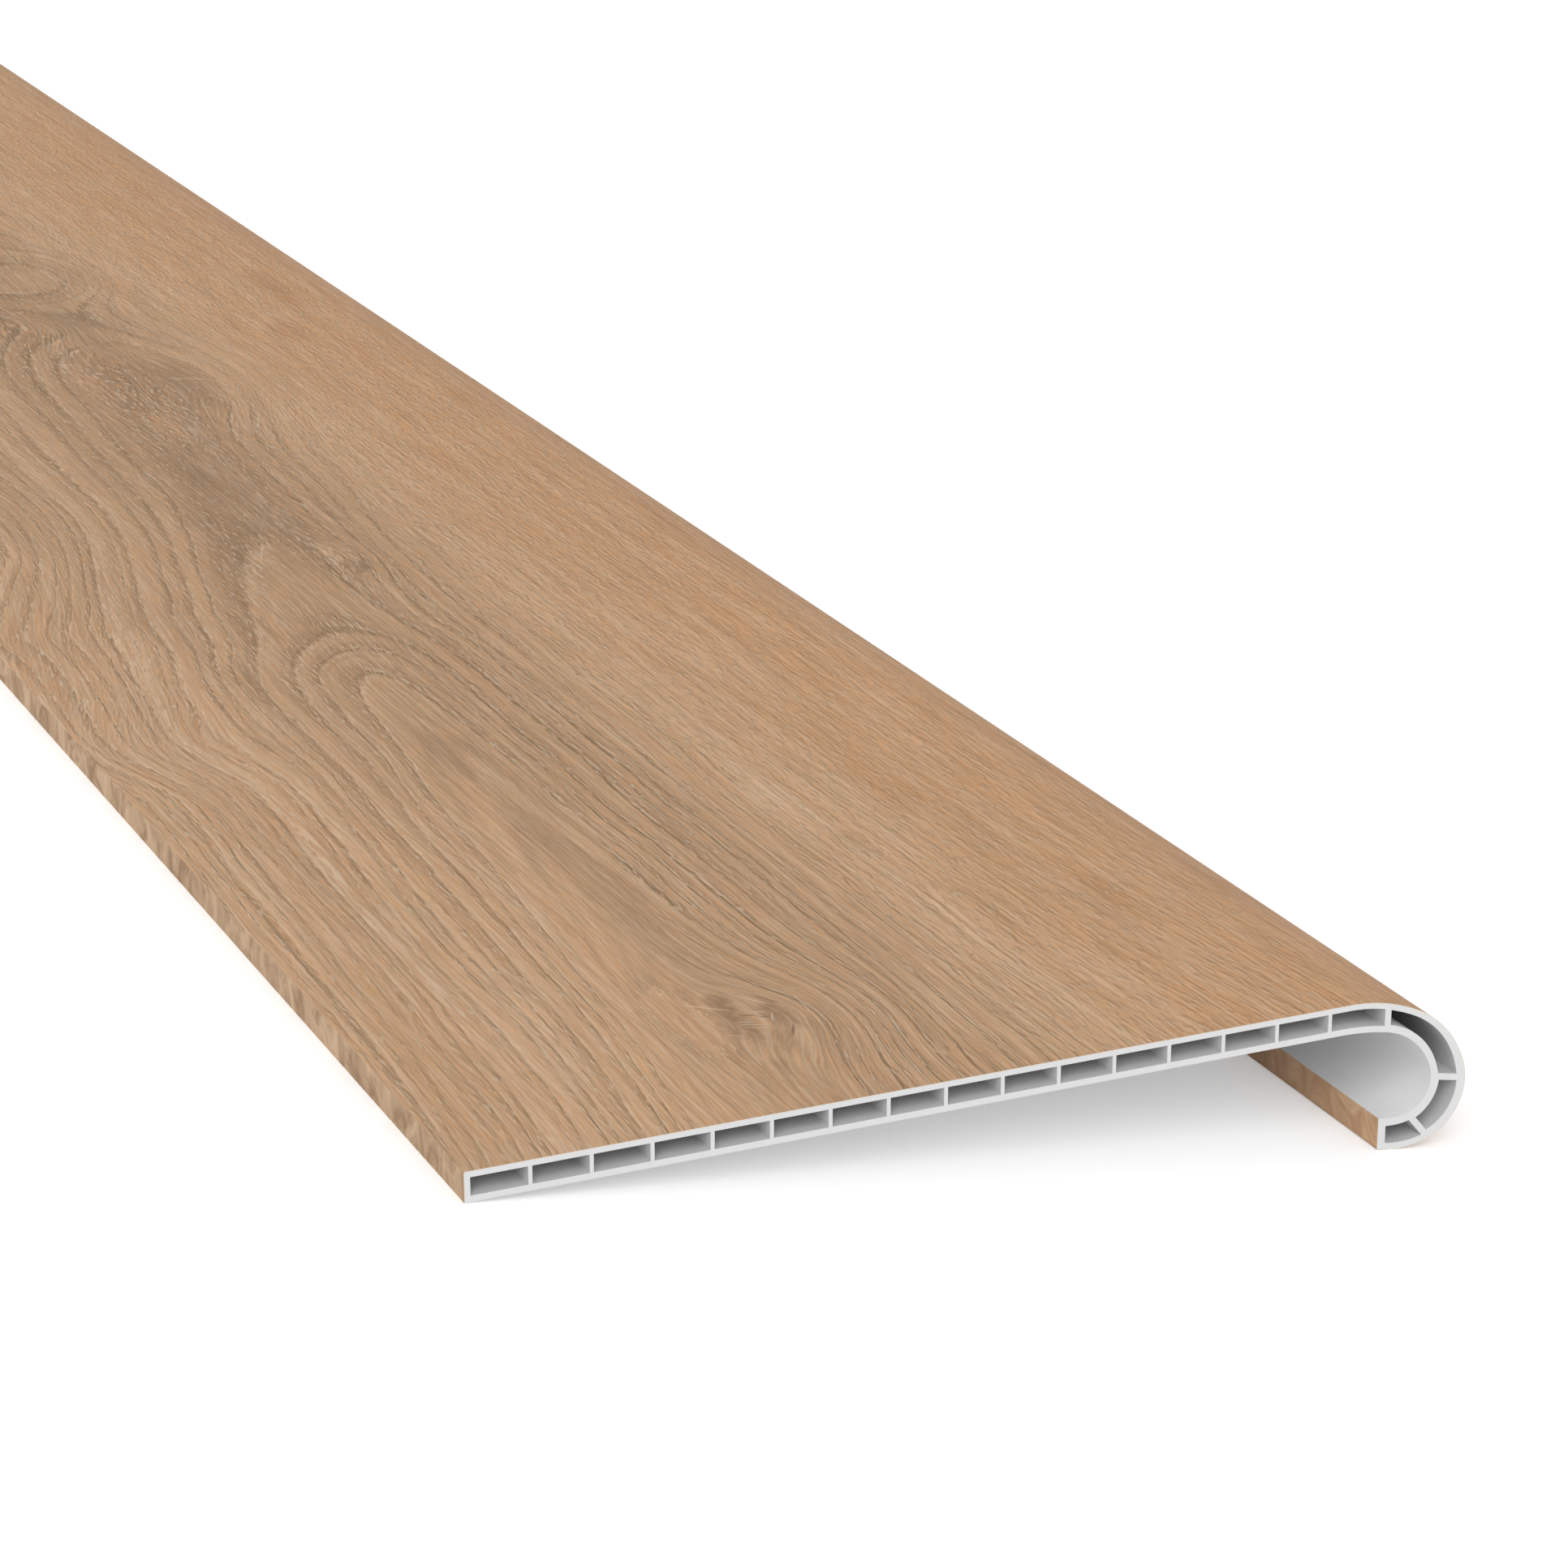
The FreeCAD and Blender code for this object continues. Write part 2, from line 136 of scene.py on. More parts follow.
class FilmColours(bpy.types.PropertyGroup):
    """The printed oak."""

    honey: colour("Honey", "Straight-grained wood beside the nose", "BF936B")
    sand: colour("Sand", "Paler bands of straight grain", "C6A585")
    umber: colour("Umber", "Greyish wood round the heart", "9D7F62")
    late_line: colour("Ring line", "Dark line at each growth ring", "75603F")
    pore: colour("Pore", "Short dark dashes", "8A6B4B")
    ember: colour("Ember", "Warm flecks among the fibres", "CB996B")
    blush: colour("Blush", "Warm brown beside a knot that the saw just missed", "A5744B")
    # Painted highlight and print: pale dashes beside the embossed pores and ring lines are painted highlights; the pale
    # hairlines, strokes and eye rims are print
    pale_print_and_highlight: colour("Chalk", "Pale edge of an embossed dash", "E0CAB0")
    eye: colour("Eye", "Pale wood inside a ring's eye", "C89C78")
    knot: colour("Knot", "Hearts of the knots", "8A6F55")
    edge_pale: colour("Edge, pale", "Pale streaks of the back edge and tip", "CFB292")
    edge_dark: colour("Edge, dark", "Dark streaks of the back edge and tip", "A08062")
    # Painted light: a lighter, warmer tint laid over the tip's face, which lies in shade under the panel
    tip_light_tint: colour("Tip, tint", "Warm tint of the tip's print", "EEBC92")
    film_cut: colour("Film edge", "The film where it is sawn through", "D8CDBE")


class PlasticColours(bpy.types.PropertyGroup):
    """The extrusion's plastic."""

    skin: colour("Skin", "Faces left by the die", "EAEAEA")
    # Painted shade: the hollows' walls are the same plastic as the skin, painted a darker grey for the shade inside the
    # hollows
    inner: colour("Inner wall", "Walls of the hollows", "CDCDCD")
    sawn: colour("Sawn face", "Faces left by the saw", "D9D9D9")


class StudioSettings(bpy.types.PropertyGroup):
    """Light and floor."""

    sky: FloatProperty(name="Sky", description="Strength of the light from all round", default=0.68, min=0)
    key: FloatProperty(name="Key", description="Strength of the soft lamp", default=1.05, min=0)
    fill: FloatProperty(name="Fill", description="Strength of the low lamp at the cut end", default=0.74, min=0)
    key_spread: FloatProperty(
        name="Key spread",
        description="How wide the lamp looks from the tread",
        default=math.radians(35),
        min=0,
        unit="ROTATION",
    )
    fill_spread: FloatProperty(
        name="Fill spread",
        description="How wide the low lamp looks from the tread",
        default=math.radians(60),
        min=0,
        unit="ROTATION",
    )
    floor: colour("Floor", "Colour of the floor", "F2F2F2")


# The section


def outward(turn):
    """Unit vector square to a face that has turned down by this angle from level."""
    return Vector((math.sin(turn), math.cos(turn)))


def along(fall):
    """Unit vector towards the nose that falls by this angle."""
    return Vector((math.cos(fall), -math.sin(fall)))


class TangentArcs:
    """Four tangent arcs that leave a level face at a given height and reach a given depth on the third arc."""

    def __init__(self, height, reach, arc_radii, arc_turns):
        self.radii = list(arc_radii)
        self.headings = [sum(arc_turns[: count + 1]) for count in range(len(arc_turns))]
        self.centres = [Vector((0, height - self.radii[0]))]
        for heading, radius, following in zip(self.headings, self.radii, self.radii[1:]):
            self.centres.append(self.centres[-1] + outward(heading) * (radius - following))
        shift = Vector((reach - self.radii[2] - self.centres[2].x, 0))
        self.centres = [centre + shift for centre in self.centres]

    def point(self, arc, turn, offset=0):
        return self.centres[arc] + outward(turn) * (self.radii[arc] + offset)

    def turn_at_depth(self, arc, depth, offset=0, side=1):
        """How far the arc has turned where it stands over (side 1) or under (side -1) a depth."""
        turn = math.asin((depth - self.centres[arc].x) / (self.radii[arc] + offset))
        return turn if side > 0 else math.pi - turn

    def turn_on_line(self, arc, start, direction, offset=0):
        """How far the arc has turned where a line that goes outward leaves it."""
        gap = start - self.centres[arc]
        middle = gap.dot(direction)
        run = math.sqrt(middle**2 - gap.dot(gap) + (self.radii[arc] + offset) ** 2) - middle
        return turn_of(gap + direction * run)

    def run(self, arc, first, last, offset=0):
        return arc_points(self.centres[arc], self.radii[arc] + offset, first, last)


def turn_of(spoke):
    return math.atan2(spoke.x, spoke.y) % (2 * math.pi)


def arc_points(centre, radius, first, last):
    steps = max(1, math.ceil(abs(last - first) / ARC_STEP))
    return [centre + outward(first + (last - first) * step / steps) * radius for step in range(steps + 1)]


def without_repeats(points):
    """The points in order, leaving out each that lies on the one before."""
    kept = []
    for point in points:
        if not kept or (point - kept[-1]).length > 1e-3 * MM:
            kept.append(point)
    return kept


class Section:
    """The tread's section in depth from the back edge and height above the flat underside."""

    def __init__(self, sizes):
        self.sizes = sizes
        self.tip = sizes.depth - sizes.tip_setback
        self.outer = TangentArcs(sizes.thickness, sizes.depth, sizes.outer_radii, sizes.outer_turns)
        self.hook = TangentArcs(0, sizes.depth - sizes.front_wall, sizes.hook_radii, sizes.hook_turns)

    def face_line(self, offset=0):
        """The film's line: up the back edge, over the top, round the nose and up the tip's face."""
        sizes, outer = self.sizes, self.outer
        corner = sizes.film_corner
        back_centre = Vector((corner, sizes.thickness - corner))
        # The tip's rounded corner touches the heel from inside and the tip's face
        heel = outer.centres[3]
        reach = sizes.outer_radii[3] - corner
        tip_centre = Vector((self.tip + corner, 0))
        tip_centre.y = heel.y - math.sqrt(reach**2 - (tip_centre.x - heel.x) ** 2)
        heel_end = turn_of(tip_centre - heel)

        points = [Vector((-offset, 0))]
        points += arc_points(back_centre, corner + offset, -math.pi / 2, 0)
        points.append(Vector((outer.centres[0].x - FLAT_MARGIN, sizes.thickness + offset)))
        starts = [0, *outer.headings]
        for arc, (first, last) in enumerate(zip(starts, [*outer.headings, heel_end])):
            points += outer.run(arc, first, last, offset)
        points += arc_points(tip_centre, corner + offset, heel_end, 1.5 * math.pi)
        tip = self.tip - offset
        points.append(self.hook.point(3, self.hook.turn_at_depth(3, tip, side=-1)))
        return without_repeats(points)

    def hook_line(self, tip):
        """From the tip's inner corner round the hook's inside to the flat underside."""
        hook = self.hook
        ends = [hook.turn_at_depth(3, tip, side=-1), *reversed(hook.headings), 0]
        points = []
        for arc, first, last in zip((3, 2, 1, 0), ends, ends[1:]):
            points += hook.run(arc, first, last)
        points.append(Vector((hook.centres[0].x - FLAT_MARGIN, 0)))
        return without_repeats(points)

    def plastic_line(self):
        """The extrusion's own outline, under the film."""
        film = self.sizes.film
        covered = self.face_line(-film)
        return without_repeats(covered + self.hook_line(self.tip + film))

    def chambers(self):
        """The hollows' outlines, from the back edge to the tip."""
        sizes = self.sizes
        pitch = sizes.cell_width + sizes.cell_web
        low, high = sizes.bottom_skin, sizes.thickness - sizes.top_skin
        count = int((self.hook.centres[0].x - sizes.back_wall) // pitch)
        lefts = [sizes.back_wall + pitch * place for place in range(count + 1)]
        cells = [
            [Vector((left, low)), Vector((left, high)), Vector((left + sizes.cell_width, high)),
             Vector((left + sizes.cell_width, low))]
            for left in lefts[:-1]
        ]
        return cells + [
            self.bend_cell(lefts[-1], low, high),
            self.brow_chamber(),
            self.front_chamber(),
            self.heel_chamber(),
        ]

    def web_face(self, web, side):
        """A point and direction on a sloping web's upper (side 1) or lower (side -1) face."""
        fall = self.sizes.web_falls[web]
        root = self.hook.point(2, self.sizes.web_turns[web])
        return root + outward(fall) * side * self.sizes.nose_web / 2, along(fall)

    def bend_cell(self, left, low, high):
        outer, hook = self.outer, self.hook
        right = self.tip + self.sizes.tip_wall - self.sizes.nose_web
        top, bottom = high - self.sizes.thickness, low
        points = [Vector((left, low)), Vector((left, high))]
        points.append(Vector((outer.centres[0].x - FLAT_MARGIN, high)))
        points += outer.run(0, 0, outer.turn_at_depth(0, right, top), top)
        points += hook.run(0, hook.turn_at_depth(0, right, bottom), 0, bottom)
        return without_repeats(points)

    def brow_chamber(self):
        outer, hook, sizes = self.outer, self.hook, self.sizes
        skin, inner = sizes.nose_skins[0], sizes.hook_skins[0]
        left = self.tip + sizes.tip_wall
        start, direction = self.web_face(0, 1)
        web_out = outer.point(
            2, outer.turn_on_line(2, start, direction, -sizes.nose_skins[1]), -sizes.nose_skins[1]
        )
        # The second arc is tangent to the first and ends at the web
        heading = outer.headings[0]
        gap = web_out - outer.centres[0]
        radius = sizes.outer_radii[0] - skin
        shift = (radius**2 - gap.dot(gap)) / (2 * (radius - outward(heading).dot(gap)))
        centre = outer.centres[0] + outward(heading) * shift
        points = outer.run(0, outer.turn_at_depth(0, left, -skin), heading, -skin)
        points += arc_points(centre, radius - shift, heading, turn_of(web_out - centre))
        points += hook.run(
            1, hook.turn_on_line(1, start, direction, inner), hook.turn_at_depth(1, left, inner), inner
        )
        return without_repeats(points)

    def front_chamber(self):
        skin, inner = self.sizes.nose_skins[1], self.sizes.hook_skins[1]
        faces = [self.web_face(0, -1), self.web_face(1, 1)]
        outs = [self.outer.turn_on_line(2, *face, -skin) for face in faces]
        ins = [self.hook.turn_on_line(2, *face, inner) for face in faces]
        return without_repeats(self.outer.run(2, *outs, -skin) + self.hook.run(2, *reversed(ins), inner))

    def heel_chamber(self):
        outer, hook = self.outer, self.hook
        skin, inner = self.sizes.nose_skins[2], self.sizes.hook_skins[2]
        left = self.tip + self.sizes.tip_wall
        face = self.web_face(1, -1)
        points = outer.run(
            3, outer.turn_on_line(3, *face, -skin), outer.turn_at_depth(3, left, -skin, side=-1), -skin
        )
        points += hook.run(3, hook.turn_at_depth(3, left, inner, side=-1), hook.headings[2], inner)
        points += hook.run(2, hook.headings[2], hook.turn_on_line(2, *face, inner), inner)
        return without_repeats(points)

    def resting_place(self):
        """Stand the section on its heel and its lower back edge, nose towards -Y, as the part rests."""
        heel, front = self.outer.centres[3], self.outer.centres[2]
        tilt = math.asin(self.outer.radii[3] / heel.length) + math.atan2(-heel.y, heel.x)
        reach = front.dot(along(tilt)) + self.outer.radii[2]
        behind = self.sizes.thickness * math.sin(tilt)
        shift = Vector((-self.sizes.tread_length / 2, (reach - behind) / 2, 0))
        # Length, depth and height become X, -Y and Z, then the section turns about the back edge
        axes = Matrix(((1, 0, 0), (0, -1, 0), (0, 0, 1))).to_4x4()
        return Matrix.Translation(shift) @ Matrix.Rotation(-tilt, 4, "X") @ axes


# Meshes


def sweep(mesh, points, tread_length, closed, slot):
    """Draw a line of the section at both ends and join them. Gives the two lines and the faces."""
    ends = [[mesh.verts.new((x, *point)) for point in points] for x in (0, tread_length)]
    pairs = list(zip(*ends))
    pairs = list(zip(pairs, pairs[1:] + pairs[:1])) if closed else list(zip(pairs, pairs[1:]))
    faces = [mesh.faces.new((near, far, next_far, next_near)) for (near, far), (next_near, next_far) in pairs]
    for face in faces:
        face.material_index = slot
    return ends, faces


def to_object(name, mesh, place, materials):
    data = bpy.data.meshes.new(name)
    mesh.to_mesh(data)
    mesh.free()
    for material in materials:
        data.materials.append(material)
    data.transform(place)
    if place.determinant() < 0:
        data.flip_normals()
    data.polygons.foreach_set("use_smooth", [True] * len(data.polygons))
    data.set_sharp_from_angle(angle=SMOOTH_UNDER)
    piece = bpy.data.objects.new(name, data)
    bpy.context.scene.collection.objects.link(piece)
    return piece


def build_profile(section, materials):
    """The hollow extrusion, with both sawn ends closed between the hollows."""
    skin, inner, sawn = range(3)
    mesh = bmesh.new()
    tread_length = section.sizes.tread_length
    ends = [sweep(mesh, section.plastic_line(), tread_length, True, skin)[0]]
    ends += [sweep(mesh, loop, tread_length, True, inner)[0] for loop in section.chambers()]
    for side in range(2):
        rims = []
        for loop in ends:
            ring = loop[side]
            rims += [mesh.edges.get(pair) for pair in zip(ring, ring[1:] + ring[:1])]
        filled = bmesh.ops.triangle_fill(mesh, use_beauty=True, edges=rims, normal=(1, 0, 0))
        for face in filled["geom"]:
            if isinstance(face, bmesh.types.BMFace):
                face.material_index = sawn
    bmesh.ops.recalc_face_normals(mesh, faces=mesh.faces)
    return to_object(PROFILE_NAME, mesh, section.resting_place(), materials)


def build_film(section, materials):
    """The film as a thin wrapped sheet, with a map of it unrolled: along the tread, then from back to tip."""
    print_side, cut_edge = range(2)
    tread_length = section.sizes.tread_length
    mesh = bmesh.new()
    unrolled = mesh.loops.layers.uv.new(FILM_MAP)
    outside, inside = section.face_line(), section.face_line(-section.sizes.film)
    if len(outside) != len(inside):
        raise ValueError("the film's two sides have different numbers of points")
    travel = [0]
    for before, point in zip(outside, outside[1:]):
        travel.append(travel[-1] + (point - before).length)

    outer_ends, _ = sweep(mesh, outside, tread_length, False, print_side)
    inner_ends, _ = sweep(mesh, inside, tread_length, False, print_side)
    for outer_line, inner_line in zip(outer_ends, inner_ends):
        for (out, into), (next_out, next_into) in zip(
            zip(outer_line, inner_line), zip(outer_line[1:], inner_line[1:])
        ):
            mesh.faces.new((out, next_out, next_into, into)).material_index = cut_edge
    for place in (0, -1):
        near, far = (line[place] for line in outer_ends)
        near_in, far_in = (line[place] for line in inner_ends)
        mesh.faces.new((near, far, far_in, near_in)).material_index = cut_edge
    distance = {
        vert: travel[place]
        for line in (*outer_ends, *inner_ends)
        for place, vert in enumerate(line)
    }
    for face in mesh.faces:
        for loop in face.loops:
            loop[unrolled].uv = (loop.vert.co.x, distance[loop.vert])
    bmesh.ops.recalc_face_normals(mesh, faces=mesh.faces)
    return to_object(FILM_NAME, mesh, section.resting_place(), materials), travel


# Materials


def add_node(tree, kind, inputs=(), stops=(), **settings):
    """Add one node with its settings, its curve or ramp stops, and its inputs by place or name."""
    node = tree.nodes.new("ShaderNode" + kind)
    for name, value in settings.items():
        setattr(node, name, value)
    for place, value in inputs.items() if isinstance(inputs, dict) else enumerate(inputs):
        source = value.outputs[0] if isinstance(value, bpy.types.Node) else value
        if isinstance(source, bpy.types.NodeSocket):
            tree.links.new(source, node.inputs[place])
        else:
            node.inputs[place].default_value = source
    if stops:
        curve = node.mapping.curves[0]
        for point, stop in zip(curve.points, (stops[0], stops[-1])):
            point.location = stop
        for stop in stops[1:-1]:
            curve.points.new(*stop)
        node.mapping.update()
    return node


def new_material(name, roughness, ior, specular):
    material = bpy.data.materials.new(name)
    material.use_nodes = True
    tree = material.node_tree
    tree.nodes.clear()
    shader = add_node(tree, "BsdfPrincipled", {"Roughness": roughness, "IOR": ior, "Specular IOR Level": specular})
    add_node(tree, "OutputMaterial", [shader])
    return material, tree, shader


def extruded_pvc(name, colour_code, roughness):
    """Rigid PVC as the die leaves it: even light grey, satin, with faint lines along its length."""
    material, tree, shader = new_material(name, roughness, 1.53, 0.4)
    put = partial(add_node, tree)
    place = put("TexCoord").outputs["Object"]
    # Die lines about 1.2 mm apart that run on for 400 mm, and a slow unevenness of the melt
    stretched = put("VectorMath", [place, (1 / 0.4, 1 / 0.0012, 1 / 0.0012)], operation="MULTIPLY")
    lines = put("TexNoise", {"Vector": stretched, "Scale": 1.0, "Detail": 2.0})
    melt = put("TexNoise", {"Vector": place, "Scale": 18.0, "Detail": 2.0})
    tone = put("Math", [lines, 0.035, 0.9650], operation="MULTIPLY_ADD")
    tone = put("Math", [melt, 0.03, tone], operation="MULTIPLY_ADD")
    tint = put("VectorMath", {0: tuple(colour_code), "Scale": tone}, operation="SCALE")
    tree.links.new(tint.outputs[0], shader.inputs["Base Color"])
    bump = put("Bump", {"Strength": 0.5, "Distance": 0.02 * MM, "Height": lines})
    tree.links.new(bump.outputs[0], shader.inputs["Normal"])
    return material


def sawn_pvc(colours):
    """PVC cut by a fine saw: a duller light grey with marks across the section."""
    material, tree, shader = new_material("sawn_pvc", 0.6, 1.53, 0.3)
    put = partial(add_node, tree)
    place = put("TexCoord").outputs["Object"]
    # Tooth marks 0.6 mm apart are finer than the picture shows, so they are drawn 1 mm apart
    stretched = put("VectorMath", [place, (1, 1 / 0.001, 1 / 0.03)], operation="MULTIPLY")
    marks = put("TexNoise", {"Vector": stretched, "Scale": 1.0, "Detail": 2.0, "Distortion": 0.3})
    tone = put("Math", [marks, 0.05, 0.975], operation="MULTIPLY_ADD")
    tint = put("VectorMath", {0: tuple(colours.sawn), "Scale": tone}, operation="SCALE")
    tree.links.new(tint.outputs[0], shader.inputs["Base Color"])
    bump = put("Bump", {"Strength": 0.6, "Distance": 0.03 * MM, "Height": marks})
    tree.links.new(bump.outputs[0], shader.inputs["Normal"])
    return material


def cut_film(colours):
    """The film's own sawn edge: a thin line of the tan base that the print lies on."""
    material, tree, shader = new_material("cut_film", 0.6, 1.5, 0.3)
    put = partial(add_node, tree)
    flecks = put("TexNoise", {"Vector": put("TexCoord").outputs["Object"], "Scale": 900.0, "Detail": 1.0})
    tone = put("Math", [flecks, 0.12, 0.94], operation="MULTIPLY_ADD")
    tint = put("VectorMath", {0: tuple(colours.film_cut), "Scale": tone}, operation="SCALE")
    tree.links.new(tint.outputs[0], shader.inputs["Base Color"])
    return material


# The heart line's depth, and how deep the heart lies under the print, along the tread, all in millimetres
HEART_LINE = (
    (0, 98), (100, 103), (200, 105), (300, 109), (386, 112.5), (450, 118), (533, 125), (610, 136), (700, 142),
    (800, 150), (1100, 156), (1829, 150),
)
HEART_SINK = (
    (0, 10), (100, 20), (200, 26), (300, 30), (386, 33), (420, 37.4), (450, 41.8), (533, 46.2), (600, 48),
    (700, 48.5), (760, 49), (850, 50), (930, 55), (1005, 45), (1080, 55), (1200, 60), (1500, 50), (1829, 30),
)
CURVE_LENGTH, CURVE_DEPTH, CURVE_SINK = 1829, 300, 80
# How grey the wood is at each depth from the back edge
GREYING = (
    (-10, 0.1), (20, 0.15), (60, 0.2), (85, 0.3), (105, 0.5), (150, 0.52), (165, 0.35), (180, 0.15),
    (200, 0.0), (380, 0.0),
)
# Places where the grain lifts: length, depth, reach along, reach across and lift, in millimetres
SWIRLS = (
    (60, 126, 34, 26, 13),
    (63, 90, 40, 12, -4),
    (352, 20, 40, 34, -9),
    (610, 30, 140, 50, 34),
    (-60, 262, 150, 50, 14),
    (525, 152, 40, 14, 6),
    (790, 182, 75, 30, 14),
    (790, 128, 70, 14, -6),
    (920, 140, 40, 15, 10),
)
# Pale eyes between the rings, dark smudges, and knots: length, depth, reach along and reach across
EYES = ((808, 132, 42, 6), (730, 141, 26, 7), (534, 147, 24, 5), (68, 91, 25, 7))
SMUDGES = ((303, 107, 26, 4), (640, 134, 60, 11), (796, 167, 44, 13), (900, 152, 40, 8))
BLUSHES = ((865, 238, 26, 8), (940, 258, 60, 9))
DARK_BANDS = ((185, 109, 100, 7), (560, 112, 60, 5))
KNOTS = ((61, 118, 10, 4), (58, 104, 9, 5), (74, 105, 8, 3.5), (513, 149, 7, 4), (78, 187, 0.8, 0.7))
# Strokes where the knots twist: length, depth, half length, half width and slope in degrees
PALE_STROKES = (
    (74.5, 114, 7.5, 0.45, -37), (74, 100, 7, 0.6, -50), (52, 100.5, 3.5, 0.45, -52), (55.2, 108.2, 3.6, 0.4, -65),
    (57.4, 107.6, 4, 0.45, -65), (59.6, 107, 3.6, 0.4, -68), (60.5, 115, 3, 0.45, 22), (65.3, 112.6, 3, 0.45, -60),
    (62, 126.5, 14, 0.4, 4), (848, 130, 6, 0.8, -70), (802, 172, 12, 0.7, -60), (545, 122, 12, 0.5, 20),
)
DARK_STROKES = (
    (64, 109, 3.8, 0.6, -72), (61.5, 112.4, 2.6, 0.5, -60), (72, 119, 6, 0.5, -32), (50.5, 117, 7, 0.6, 25),
    (849.5, 131, 6, 0.9, -70),
)
# Rings are 4.4 mm wide. Inside the youngest that shows, the wood is even
RING_WIDTH = 4.4
FIRST_RING = 33.0


def nearest_spot(put, spot, table):
    """How far off the nearest of several oval spots is, as a share of its reach."""
    nearest = None
    for along_x, across, reach_x, reach_s in table:
        scaled = put(
            "VectorMath",
            [spot, (1 / reach_x, 1 / reach_s, 0), (-along_x / reach_x, -across / reach_s, 0)],
            operation="MULTIPLY_ADD",
        )
        away = put("VectorMath", [scaled], operation="LENGTH").outputs["Value"]
        nearest = away if nearest is None else put("Math", [nearest, away], operation="MINIMUM")
    return nearest


def strokes(put, spot, twist, table):
    """Short straight strokes with ragged ends."""
    strength = 0.0
    for along_x, across, half_length, half_width, slope in table:
        turned = put(
            "VectorRotate",
            {"Vector": spot, "Center": (along_x, across, 0), "Angle": -math.radians(slope)},
            rotation_type="Z_AXIS",
        )
        scaled = put(
            "VectorMath",
            [turned, (1 / half_length, 1 / half_width, 0), (-along_x / half_length, -across / half_width, 0)],
            operation="MULTIPLY_ADD",
        )
        away = put("VectorMath", [scaled], operation="LENGTH").outputs["Value"]
        away = put("Math", [twist, 1.2, away], operation="MULTIPLY_ADD")
        stroke = put("MapRange", [away, 1.7, 1.1, 0.0, 0.95])
        strength = put("Math", [strength, stroke], operation="MAXIMUM")
    return strength


